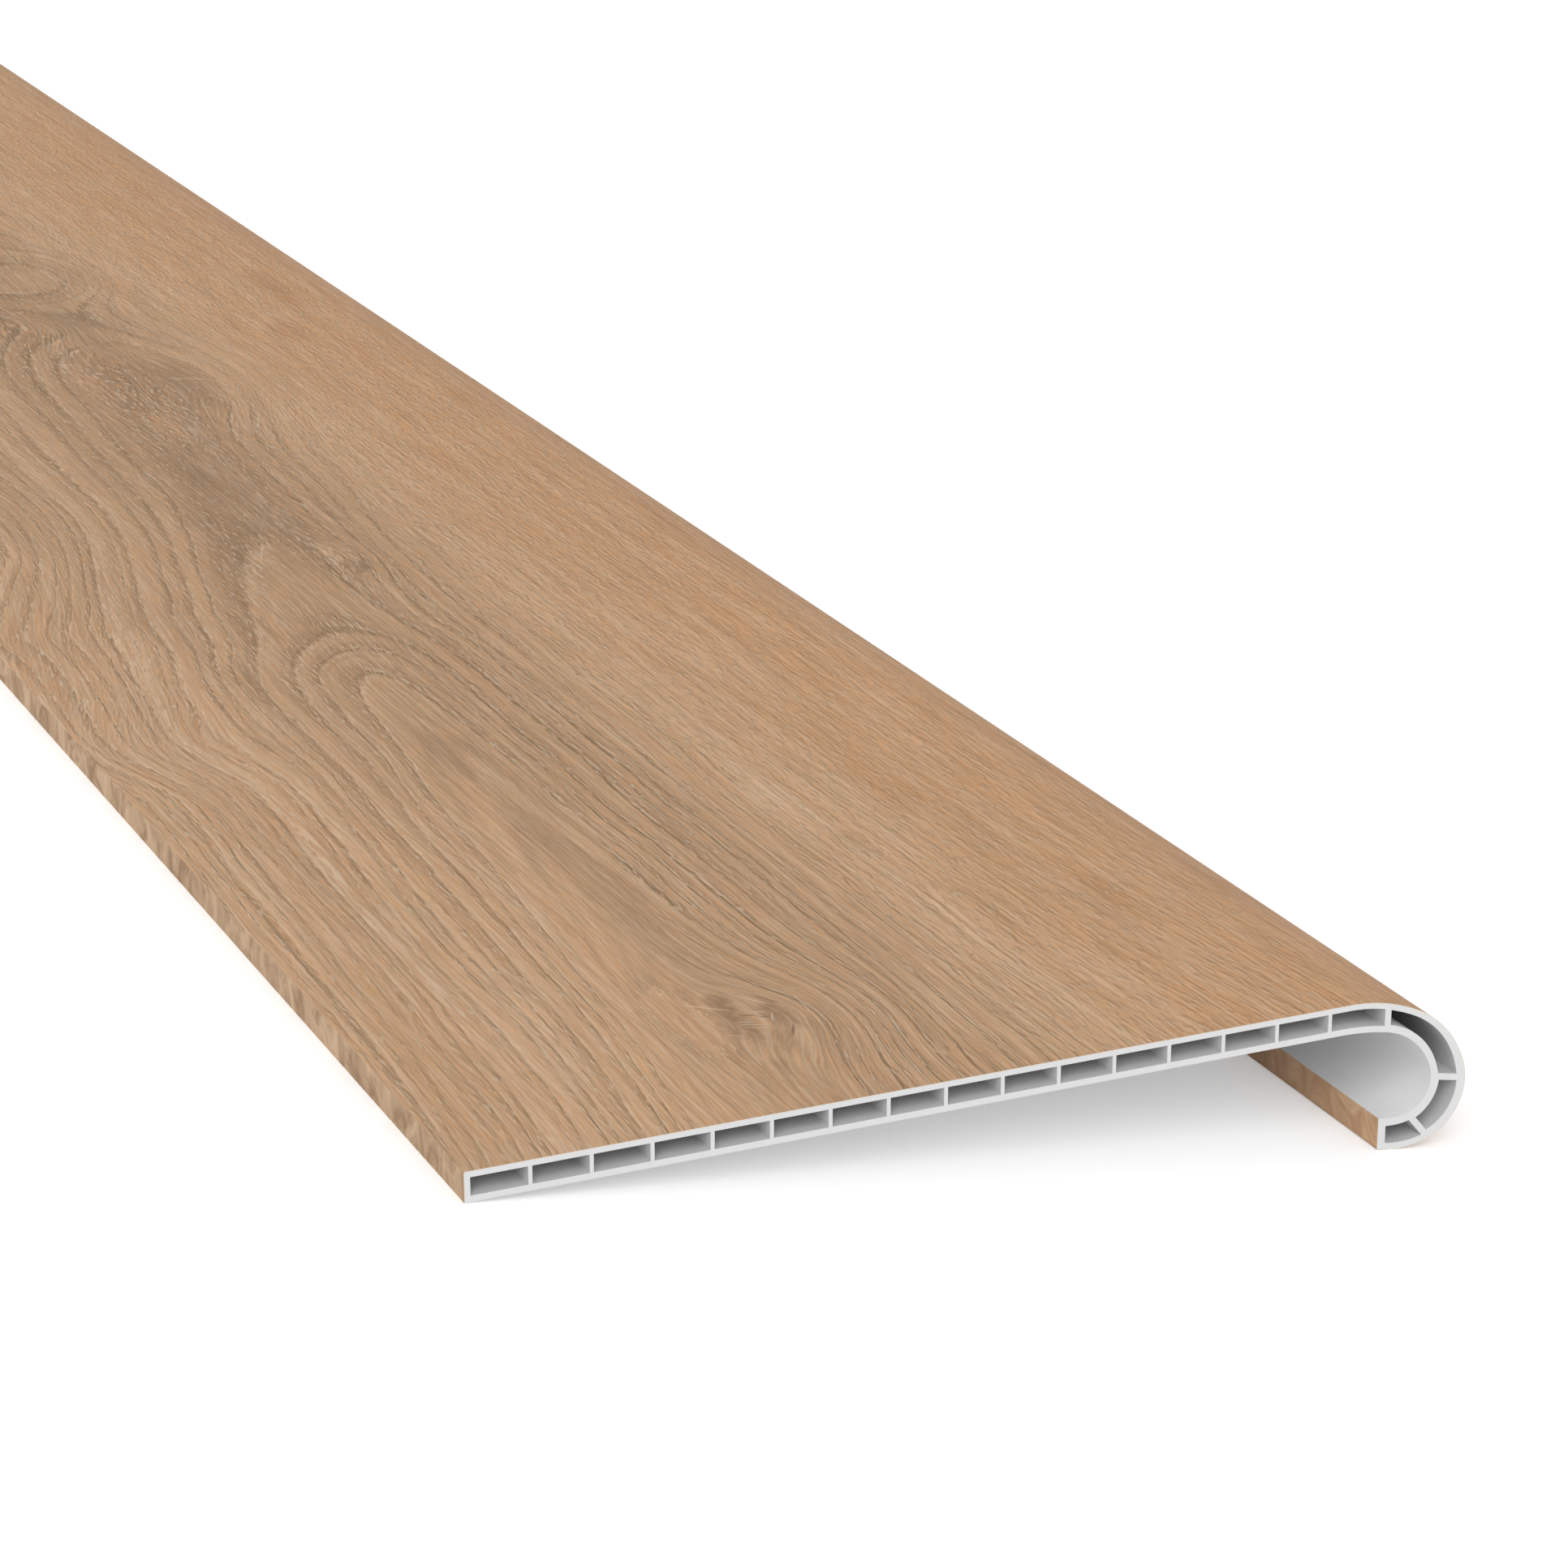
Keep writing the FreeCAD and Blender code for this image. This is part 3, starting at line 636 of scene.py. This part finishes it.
def printed_oak_film(sizes, colours, travel):
    """PVC film printed with oak and embossed with its pores: matt, with pale dashes painted beside the embossed pores
    and ring lines as painted highlights.
    """
    material, tree, shader = new_material("printed_oak_film", 0.6, 1.5, 0.12)
    put = partial(add_node, tree)
    edge = sizes.thickness / MM
    tip = (travel[-1] - sizes.thickness) / MM - 9.0
    flat = {"noise_dimensions": "2D"}

    # Millimetres along the tread, and from the top's back edge over the film
    unrolled = put("UVMap", uv_map=FILM_MAP)
    spot = put("VectorMath", [unrolled, (1 / MM, 1 / MM, 0), (0, -edge, 0)], operation="MULTIPLY_ADD")
    parts = put("SeparateXYZ", [spot])
    run, depth = parts.outputs["X"], parts.outputs["Y"]

    # Grain lines: level, but wavering slowly and lifted round each swirl
    slow = put("VectorMath", [spot, (1 / 110, 1 / 24, 0)], operation="MULTIPLY")
    waver = put("TexNoise", {"Vector": slow, "Scale": 1.0, "Detail": 3.0, "Roughness": 0.45}, **flat)
    amount = put("MapRange", [depth, 150.0, 215.0, 7.0, 3.0])
    grain = put("Math", [put("Math", [waver, -0.5], operation="ADD"), amount, depth], operation="MULTIPLY_ADD")
    for along_x, across, reach_x, reach_s, lift in SWIRLS:
        scaled = put(
            "VectorMath",
            [spot, (1 / reach_x, 1 / reach_s, 0), (-along_x / reach_x, -across / reach_s, 0)],
            operation="MULTIPLY_ADD",
        )
        square = put("VectorMath", [scaled, scaled], operation="DOT_PRODUCT").outputs["Value"]
        bell = put("Math", [math.exp(-1), square], operation="POWER")
        grain = put("Math", [bell, -lift, grain], operation="MULTIPLY_ADD")
    follow = put("CombineXYZ", [run, grain])

    # Fibres 0.8 mm wide and 20 mm long, fine streaks 1.1 mm wide and 70 mm long, bundles 2.4 mm wide
    fibre_place = put("VectorMath", [follow, (1 / 20, 1 / 0.8, 0)], operation="MULTIPLY")
    fibre = put("TexNoise", {"Vector": fibre_place, "Scale": 1.0, "Detail": 3.0, "Roughness": 0.7}, **flat)
    streak_place = put("VectorMath", [follow, (1 / 70, 1 / 1.1, 0)], operation="MULTIPLY")
    streak = put("TexNoise", {"Vector": streak_place, "Scale": 1.0, "Detail": 2.0, "Roughness": 0.6}, **flat)
    bundle_place = put("VectorMath", [follow, (1 / 70, 1 / 2.4, 0)], operation="MULTIPLY")
    bundle = put("TexNoise", {"Vector": bundle_place, "Scale": 1.0, "Detail": 3.0}, **flat)

    # Growth rings round the heart, cut by the board's face, with ragged edges along the fibres
    share = put("Math", [run, 1 / CURVE_LENGTH], operation="MULTIPLY")
    heart = put("FloatCurve", {"Value": share}, stops=[(x / CURVE_LENGTH, s / CURVE_DEPTH) for x, s in HEART_LINE])
    sink = put("FloatCurve", {"Value": share}, stops=[(x / CURVE_LENGTH, h / CURVE_SINK) for x, h in HEART_SINK])
    beside = put("Math", [heart, -CURVE_DEPTH, grain], operation="MULTIPLY_ADD")
    # Further along, the rings lie wider apart behind the heart
    behind = put("Math", [beside, 0.0], operation="MINIMUM")
    wider = put("MapRange", [run, 300.0, 480.0, 0.0, -0.35])
    beside = put("Math", [behind, wider, beside], operation="MULTIPLY_ADD")
    below = put("Math", [sink, CURVE_SINK], operation="MULTIPLY")
    age = put("VectorMath", [put("CombineXYZ", [beside, below])], operation="LENGTH").outputs["Value"]
    ragged_place = put("VectorMath", [follow, (1 / 8, 1 / 0.7, 0)], operation="MULTIPLY")
    ragged = put("TexNoise", {"Vector": ragged_place, "Scale": 1.0, "Detail": 2.0}, **flat)
    tearing = put("MapRange", [run, 150.0, 420.0, 0.35, 2.0])
    torn = put("Math", [put("Math", [ragged, -0.5], operation="ADD"), tearing, age], operation="MULTIPLY_ADD")
    slow_age = put("Math", [age, 1 / 9], operation="MULTIPLY")
    uneven = put("TexNoise", {"W": slow_age, "Scale": 1.0, "Detail": 1.0}, noise_dimensions="1D")
    shift = put("Math", [uneven, 2.4, -1.2 - FIRST_RING / RING_WIDTH], operation="MULTIPLY_ADD")
    count = put("Math", [torn, 1 / RING_WIDTH, shift], operation="MULTIPLY_ADD")
    ring = put("Math", [count], operation="FRACT")
    line = put("MapRange", [ring, 0.1, 0.18, 1.0, 0.0])
    early = put("MapRange", [ring, 0.15, 0.7, 1.0, 0.0], interpolation_type="SMOOTHSTEP")
    # Painted highlight: each embossed ring line has a pale bank on its nose side, as if lit from that side
    side = put("Math", [beside], operation="SIGN")
    highlight_bank = put("Math", [put("Math", [side, -0.14, count], operation="MULTIPLY_ADD")], operation="FRACT")
    highlight_bank = put("MapRange", [highlight_bank, 0.07, 0.14, 1.0, 0.0])

    # Where the rings show: outside the first, less in some stretches, and hardly in the straight grain
    shown = put("MapRange", [run, 90.0, 220.0, 12.0, 0.0])
    shown = put("Math", [put("Math", [beside, 0.0], operation="GREATER_THAN"), shown, age], operation="MULTIPLY_ADD")
    shown = put("MapRange", [shown, FIRST_RING - 1.0, FIRST_RING, 0.0, 1.0])
    fade = put("MapRange", [depth, 165.0, 208.0, 1.0, 0.0], interpolation_type="SMOOTHSTEP")
    region = put("VectorMath", [follow, (1 / 200, 1 / 9, 0)], operation="MULTIPLY")
    region = put("TexNoise", {"Vector": region, "Scale": 1.0, "Detail": 1.0}, **flat)
    region = put("MapRange", [region, 0.35, 0.55, 0.6, 1.0])
    shown = put("Math", [put("Math", [shown, fade], operation="MULTIPLY"), region], operation="MULTIPLY")
    tear = put("Math", [ragged, 1.0, -0.5], operation="MULTIPLY_ADD")
    smudge = put("Math", [nearest_spot(put, spot, SMUDGES), tear], operation="ADD")
    smudge = put("MapRange", [smudge, 1.5, 0.3, 0.0, 1.0], interpolation_type="SMOOTHSTEP")
    shown = put("Math", [shown, put("Math", [smudge, -0.85, 1.0], operation="MULTIPLY_ADD")], operation="MULTIPLY")
    breaks = put("VectorMath", [follow, (1 / 26, 1 / 1.5, 0)], operation="MULTIPLY")
    broken = put("TexNoise", {"Vector": breaks, "Scale": 1.0, "Detail": 3.0, "Roughness": 0.6}, **flat)
    whole = put("MapRange", [broken, 0.38, 0.52, 0.3, 1.0])
    apart = put("MapRange", [broken, 0.46, 0.58, 0.1, 1.0])
    line = put("Math", [put("Math", [line, whole], operation="MULTIPLY"), shown], operation="MULTIPLY")
    highlight_bank = put("Math", [put("Math", [highlight_bank, apart], operation="MULTIPLY"), shown], operation="MULTIPLY")
    late = put("Math", [early, shown], operation="MULTIPLY")

    # Fine dark and pale hairlines run between the rings and on into the straight grain
    hair_place = put("VectorMath", [follow, (1 / 60, 1 / 1.0, 0), (7.7, 3.1, 0)], operation="MULTIPLY_ADD")
    hair = put("TexNoise", {"Vector": hair_place, "Scale": 1.0, "Detail": 3.0, "Roughness": 0.6}, **flat)
    dark_hair = put("MapRange", [hair, 0.56, 0.62, 0.0, 1.0])
    pale_hair = put("MapRange", [hair, 0.43, 0.36, 0.0, 1.0])

    # Pores are dashes up to 6 mm long. They are 0.25 mm wide, and drawn 0.7 mm wide so that they show
    pore_place = put("VectorMath", [follow, (1 / 8, 1 / 0.95, 0)], operation="MULTIPLY")
    pore = put("TexNoise", {"Vector": pore_place, "Scale": 1.0, "Detail": 1.0}, **flat)
    crowded = put("MapRange", [run, 350.0, 700.0, 0.66, 0.85])
    crowded = put("Math", [fade, -0.42, crowded], operation="MULTIPLY_ADD")
    crowded = put("Math", [late, 0.9, crowded], operation="MULTIPLY_ADD", use_clamp=True)
    dash = put("Math", [put("MapRange", [pore, 0.55, 0.64, 0.0, 1.0]), crowded], operation="MULTIPLY")
    # Painted highlight: a pale dash just beside each pore, where the embossed pore's edge would catch the light
    pore_highlight_place = put("VectorMath", [pore_place, (0.1, 0.8, 0)], operation="ADD")
    pore_highlight = put("TexNoise", {"Vector": pore_highlight_place, "Scale": 1.0, "Detail": 1.0}, **flat)
    pale_print_and_highlight = put("Math", [put("MapRange", [pore_highlight, 0.61, 0.71, 0.0, 1.0]), crowded], operation="MULTIPLY")
    pale_print_and_highlight = put("Math", [pale_print_and_highlight, highlight_bank], operation="MAXIMUM")
    ember_place = put("VectorMath", [follow, (1 / 14, 1 / 1.1, 0), (3.3, 8.8, 0)], operation="MULTIPLY_ADD")
    ember = put("TexNoise", {"Vector": ember_place, "Scale": 1.0, "Detail": 2.0}, **flat)
    ember = put("MapRange", [ember, 0.52, 0.68, 0.0, 1.0])

    # Wood colours: honey and sand in streaks and bands, umber round the heart and beside each ring
    broad = put("VectorMath", [spot, (1 / 260, 1 / 40, 0)], operation="MULTIPLY")
    broad = put("TexNoise", {"Vector": broad, "Scale": 1.0, "Detail": 3.0, "Roughness": 0.5}, **flat)
    low, high = GREYING[0][0], GREYING[-1][0]
    greying = put("MapRange", [depth, float(low), float(high), 0.0, 1.0])
    greying = put("FloatCurve", {"Value": greying}, stops=[((s - low) / (high - low), g) for s, g in GREYING])
    further = put("MapRange", [run, 0.0, 750.0, 0.8, 1.25])
    greying = put("Math", [greying, further], operation="MULTIPLY")
    greying = put("Math", [broad, 0.8, put("Math", [greying, -0.4], operation="ADD")], operation="MULTIPLY_ADD")
    greying = put("Math", [bundle, 0.7, put("Math", [greying, -0.35], operation="ADD")], operation="MULTIPLY_ADD")
    slow_rings = put("TexNoise", {"W": put("Math", [age, 1 / 10], operation="MULTIPLY")}, noise_dimensions="1D")
    season = put("Math", [slow_rings, fade], operation="MULTIPLY")
    greying = put("Math", [season, 1.0, put("Math", [fade, -0.5, greying], operation="MULTIPLY_ADD")], operation="MULTIPLY_ADD")
    greying = put("Math", [late, 0.3, greying], operation="MULTIPLY_ADD", use_clamp=True)
    bands = put("VectorMath", [follow, (1 / 150, 1 / 7, 0)], operation="MULTIPLY")
    bands = put("TexNoise", {"Vector": bands, "Scale": 1.0, "Detail": 4.0, "Roughness": 0.65}, **flat)
    bands = put("MapRange", [bands, 0.3, 0.7, 0.0, 1.0])
    paler = put("MapRange", [depth, 225.0, 195.0, 0.0, 0.35])
    bands = put("Math", [bands, 0.65, paler], operation="MULTIPLY_ADD")
    wood = put("Mix", {0: bands, 6: (*colours.honey, 1), 7: (*colours.sand, 1)}, data_type="RGBA").outputs[2]
    wood = put("Mix", {0: greying, 6: wood, 7: (*colours.umber, 1)}, data_type="RGBA").outputs[2]
    strength = put("MapRange", [run, 300.0, 650.0, 0.42, 0.64])
    strength = put("Math", [ember, strength], operation="MULTIPLY")
    wood = put("Mix", {0: strength, 6: wood, 7: (*colours.ember, 1)}, data_type="RGBA").outputs[2]

    # Eyes: pale inside, with a chalky rim and a darker halo. Knots: twisted and dark
    eye = put("Math", [nearest_spot(put, spot, EYES), tear], operation="ADD")
    inside = put("MapRange", [eye, 1.0, 0.5, 0.0, 0.45], interpolation_type="SMOOTHSTEP")
    wood = put("Mix", {0: inside, 6: wood, 7: (*colours.eye, 1)}, data_type="RGBA").outputs[2]
    halo = put("MapRange", [eye, 1.0, 1.6, 0.4, 0.0], interpolation_type="SMOOTHSTEP")
    halo = put("Math", [halo, put("Math", [eye, 1.0], operation="GREATER_THAN")], operation="MULTIPLY")
    halo = put("Math", [put("Math", [smudge, 0.85], operation="MULTIPLY"), halo], operation="MAXIMUM")
    band = put("Math", [nearest_spot(put, spot, DARK_BANDS), tear], operation="ADD")
    band = put("MapRange", [band, 1.5, 0.3, 0.0, 0.5], interpolation_type="SMOOTHSTEP")
    halo = put("Math", [band, halo], operation="MAXIMUM")
    wood = put("Mix", {0: halo, 6: wood, 7: (*colours.umber, 1)}, data_type="RGBA").outputs[2]
    blush = put("Math", [nearest_spot(put, spot, BLUSHES), put("Math", [tear, 0.6], operation="MULTIPLY")], operation="ADD")
    blush = put("MapRange", [blush, 1.5, 0.2, 0.0, 0.5], interpolation_type="SMOOTHSTEP")
    # The straight grain grows warmer towards the nose
    warmer = put("MapRange", [depth, 190.0, 285.0, 0.03, 0.22])
    blush = put("Math", [blush, warmer], operation="MAXIMUM")
    wood = put("Mix", {0: blush, 6: wood, 7: (*colours.blush, 1)}, data_type="RGBA").outputs[2]
    eye_rim = put("Math", [eye, 0.96, 0.06], operation="COMPARE")
    pale_print_and_highlight = put("Math", [put("Math", [eye_rim, apart], operation="MULTIPLY"), pale_print_and_highlight], operation="MAXIMUM")
    twist_place = put("VectorMath", [spot, (1 / 9, 1 / 6, 0)], operation="MULTIPLY")
    twist = put("TexNoise", {"Vector": twist_place, "Scale": 1.0, "Detail": 3.0, "Distortion": 0.6}, **flat)
    knot = nearest_spot(put, spot, KNOTS)
    knot = put("Math", [twist, 0.8, put("Math", [knot, -0.4], operation="ADD")], operation="MULTIPLY_ADD")
    in_knot = put("MapRange", [knot, 1.5, 0.6, 0.0, 1.0], interpolation_type="SMOOTHSTEP")
    body = put("Math", [in_knot, put("MapRange", [twist, 0.35, 0.6, 0.75, 0.4])], operation="MULTIPLY")
    pale_print_and_highlight = put("Math", [pale_print_and_highlight, strokes(put, spot, twist, PALE_STROKES)], operation="MAXIMUM")
    body = put("Math", [body, strokes(put, spot, twist, DARK_STROKES)], operation="MAXIMUM")

    # Each ring has its own tone; fibres, lines and pores are laid over it
    ring_age = put("Math", [age, 1 / 4], operation="MULTIPLY")
    ring_tone = put("TexNoise", {"W": ring_age, "Scale": 1.0, "Detail": 1.0}, noise_dimensions="1D")
    tone = put("Math", [ring_tone, 0.14, 0.458], operation="MULTIPLY_ADD")
    tone = put("Math", [fibre, 0.4, tone], operation="MULTIPLY_ADD")
    tone = put("Math", [streak, 0.39, tone], operation="MULTIPLY_ADD")
    tone = put("Math", [bundle, 0.22, tone], operation="MULTIPLY_ADD")
    # The warmer wood beside the nose is as light as the rest, and the far wood is a little darker
    lift = put("MapRange", [depth, 190.0, 260.0, 1.01, 1.05])
    tone = put("Math", [tone, lift], operation="MULTIPLY")
    dusk = put("MapRange", [run, 300.0, 500.0, 1.0, 0.965])
    tone = put("Math", [tone, dusk], operation="MULTIPLY")
    wood = put("VectorMath", {0: wood, "Scale": tone}, operation="SCALE")
    wood = put("Mix", {0: body, 6: wood, 7: (*colours.knot, 1)}, data_type="RGBA").outputs[2]
    strength = put("Math", [put("Math", [dark_hair, 0.4], operation="MULTIPLY"), line], operation="MAXIMUM")
    calm = put("MapRange", [run, 300.0, 560.0, 0.66, 0.5])
    fainter = put("MapRange", [depth, 60.0, 110.0, 0.64, 1.0])
    calm = put("Math", [calm, fainter], operation="MULTIPLY")
    strength = put("Math", [strength, calm], operation="MULTIPLY")
    wood = put("Mix", {0: strength, 6: wood, 7: (*colours.late_line, 1)}, data_type="RGBA").outputs[2]
    strength = put("Math", [put("Math", [dash, 0.6], operation="MULTIPLY"), fainter], operation="MULTIPLY")
    wood = put("Mix", {0: strength, 6: wood, 7: (*colours.pore, 1)}, data_type="RGBA").outputs[2]
    # The pale colour lays painted highlights beside the embossed pores and ring lines, and pale print in the hairlines,
    # strokes and eye rims
    strength = put("Math", [put("Math", [pale_hair, 0.5], operation="MULTIPLY"), pale_print_and_highlight], operation="MAXIMUM")
    strength = put("Math", [strength, 0.45], operation="MULTIPLY")
    wood = put("Mix", {0: strength, 6: wood, 7: (*colours.pale_print_and_highlight, 1)}, data_type="RGBA").outputs[2]

    # The back edge and the tip's face show the print's end as streaks that run up the face
    flame_place = put("VectorMath", [spot, (1 / 10, 1 / 14, 0)], operation="MULTIPLY")
    flames = put(
        "TexNoise",
        {"Vector": flame_place, "Scale": 1.0, "Detail": 4.0, "Roughness": 0.6, "Distortion": 0.9},
        **flat,
    )
    flames = put("MapRange", [flames, 0.32, 0.68, 0.0, 1.0])
    edges = put("Mix", {0: flames, 6: (*colours.edge_dark, 1), 7: (*colours.edge_pale, 1)}, data_type="RGBA").outputs[2]
    on_back = put("Math", [depth, -0.2], operation="LESS_THAN")
    on_tip = put("Math", [depth, tip], operation="GREATER_THAN")
    on_edge = put("Math", [on_back, on_tip], operation="MAXIMUM")
    # Painted light: the tip's face is mixed 35% of the way to the lighter tint, as if lit though it lies under the
    # panel
    lightened_tip = put("Math", [on_tip, 0.35], operation="MULTIPLY")
    edges = put("Mix", {0: lightened_tip, 6: edges, 7: (*colours.tip_light_tint, 1)}, data_type="RGBA").outputs[2]
    wood = put("Mix", {0: on_edge, 6: wood, 7: edges}, data_type="RGBA").outputs[2]
    tree.links.new(wood, shader.inputs["Base Color"])

    # Embossing about 0.08 mm deep in the lines and pores
    relief = put("Math", [line, -0.8, put("Math", [fibre, 0.5], operation="MULTIPLY")], operation="MULTIPLY_ADD")
    relief = put("Math", [dash, -0.8, relief], operation="MULTIPLY_ADD")
    bump = put("Bump", {"Strength": 1.0, "Distance": 0.08 * MM, "Height": relief})
    tree.links.new(bump.outputs[0], shader.inputs["Normal"])
    return material


# Stage

CAMERA_PLACE = (-1.88797, 0.56754, 0.44250)
CAMERA_TURN = (73.1013, -7.1188, -114.5963)
CAMERA_LENS = 100.3
CAMERA_SENSOR = 36.0
FLOOR_SIDE = 24.0
# The key light falls from behind the camera's left shoulder
KEY_FROM = (-0.62, 0.50, 0.60)
# The fill looks into the hook from the photographed end
FILL_FROM = (-0.93, 0.33, 0.08)


def paint_floor(colours):
    """Matt paint that keeps the shadow. It looks white to the camera, in mirrors and through glass."""
    material = bpy.data.materials.new("floor_paint")
    material.use_nodes = True
    tree = material.node_tree
    tree.nodes.clear()
    put = partial(add_node, tree)
    paint = put("BsdfDiffuse", {"Color": (*colours.floor, 1)})
    seen = put("LightPath")
    direct = put("Math", [seen.outputs["Is Camera Ray"], seen.outputs["Is Glossy Ray"]], operation="MAXIMUM")
    direct = put("Math", [direct, seen.outputs["Is Transmission Ray"]], operation="MAXIMUM")
    lift = put("Emission", {"Color": (1, 1, 1, 1), "Strength": put("Math", [direct, 0.3], operation="MULTIPLY")})
    both = put("AddShader", [paint, lift])
    # From below the floor isn't there
    clear = put("BsdfTransparent")
    back = put("NewGeometry").outputs["Backfacing"]
    put("OutputMaterial", [put("MixShader", [back, both, clear])])
    return material


def light_world(strength):
    world = bpy.data.worlds.new("soft_sky")
    world.use_nodes = True
    tree = world.node_tree
    tree.nodes.clear()
    put = partial(add_node, tree)
    seen = put("LightPath")
    direct = put("Math", [seen.outputs["Is Camera Ray"], seen.outputs["Is Transmission Ray"]], operation="MAXIMUM")
    level = put("MapRange", [direct, 0.0, 1.0, strength, 1.0])
    put("OutputWorld", [put("Background", {"Color": (1, 1, 1, 1), "Strength": level})])
    bpy.context.scene.world = world


def build_stage(studio):
    scene = bpy.context.scene
    scene.view_settings.view_transform = "Standard"
    light_world(studio.sky)

    half = FLOOR_SIDE / 2
    data = bpy.data.meshes.new("floor")
    corners = [(-half, -half, 0), (half, -half, 0), (half, half, 0), (-half, half, 0)]
    data.from_pydata(corners, [], [(0, 1, 2, 3)])
    data.materials.append(paint_floor(studio))
    floor = bpy.data.objects.new("floor", data)
    scene.collection.objects.link(floor)

    for name, strength, spread, place in (
        ("key", studio.key, studio.key_spread, KEY_FROM),
        ("fill", studio.fill, studio.fill_spread, FILL_FROM),
    ):
        light = bpy.data.lights.new(name, "SUN")
        light.energy = strength
        light.angle = spread
        lamp = bpy.data.objects.new(name, light)
        lamp.location = place
        lamp.rotation_euler = Vector(place).to_track_quat("Z", "Y").to_euler()
        scene.collection.objects.link(lamp)

    lens = bpy.data.cameras.new("camera")
    lens.lens = CAMERA_LENS
    lens.sensor_width = CAMERA_SENSOR
    lens.clip_start, lens.clip_end = 0.05, 60
    camera = bpy.data.objects.new("camera", lens)
    camera.location = CAMERA_PLACE
    camera.rotation_euler = [math.radians(angle) for angle in CAMERA_TURN]
    scene.collection.objects.link(camera)
    scene.camera = camera


# Operators and panel


class TREAD_OT_profile(bpy.types.Operator):
    """Build the hollow PVC extrusion"""

    bl_idname = "tread.profile"
    bl_label = "Extruded Profile"

    def execute(self, context):
        scene = context.scene
        colours = scene.tread_plastic
        # The sizing tool never touches the hollows' walls, so they stay duller, and their darker grey is painted shade
        # inside the hollows
        materials = [
            extruded_pvc("extruded_pvc", colours.skin, 0.45),
            extruded_pvc("shaded_inner_pvc", colours.inner, 0.6),
            sawn_pvc(colours),
        ]
        piece = build_profile(Section(scene.tread_sizes), materials)
        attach(piece, "root")
        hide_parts("stair_tread")
        return {"FINISHED"}


class TREAD_OT_film(bpy.types.Operator):
    """Build the printed and embossed film"""

    bl_idname = "tread.film"
    bl_label = "Wood-Look Film"

    def execute(self, context):
        scene = context.scene
        sizes, colours = scene.tread_sizes, scene.tread_film
        piece, travel = build_film(Section(sizes), [])
        for material in (printed_oak_film(sizes, colours, travel), cut_film(colours)):
            piece.data.materials.append(material)
        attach(piece, "root")
        return {"FINISHED"}


class TREAD_OT_stage(bpy.types.Operator):
    """Set the floor, the light and the camera"""

    bl_idname = "tread.stage"
    bl_label = "Studio"

    def execute(self, context):
        build_stage(context.scene.tread_studio)
        return {"FINISHED"}


class TREAD_PT_panel(bpy.types.Panel):
    """Sizes, colours and steps of the tread"""

    bl_idname = "TREAD_PT_panel"
    bl_label = "Stair Tread"
    bl_space_type = "VIEW_3D"
    bl_region_type = "UI"
    bl_category = "Stair Tread"

    def draw(self, context):
        for step in OPERATORS:
            self.layout.operator(step.bl_idname)
        for place in GROUPS:
            group = getattr(context.scene, place)
            column = self.layout.column(align=True)
            for name in group.__annotations__:
                column.prop(group, name)


OPERATORS = (TREAD_OT_profile, TREAD_OT_film, TREAD_OT_stage)
GROUPS = {
    "tread_sizes": TreadSizes,
    "tread_film": FilmColours,
    "tread_plastic": PlasticColours,
    "tread_studio": StudioSettings,
}
CLASSES = (*GROUPS.values(), *OPERATORS, TREAD_PT_panel)


def register():
    for item in CLASSES:
        bpy.utils.register_class(item)
    for place, group in GROUPS.items():
        setattr(bpy.types.Scene, place, PointerProperty(type=group))


def unregister():
    for place in GROUPS:
        delattr(bpy.types.Scene, place)
    for item in reversed(CLASSES):
        bpy.utils.unregister_class(item)


def main():
    register()
    bpy.ops.tread.profile()
    bpy.ops.tread.film()
    bpy.ops.tread.stage()


if __name__ == "__main__":
    main()
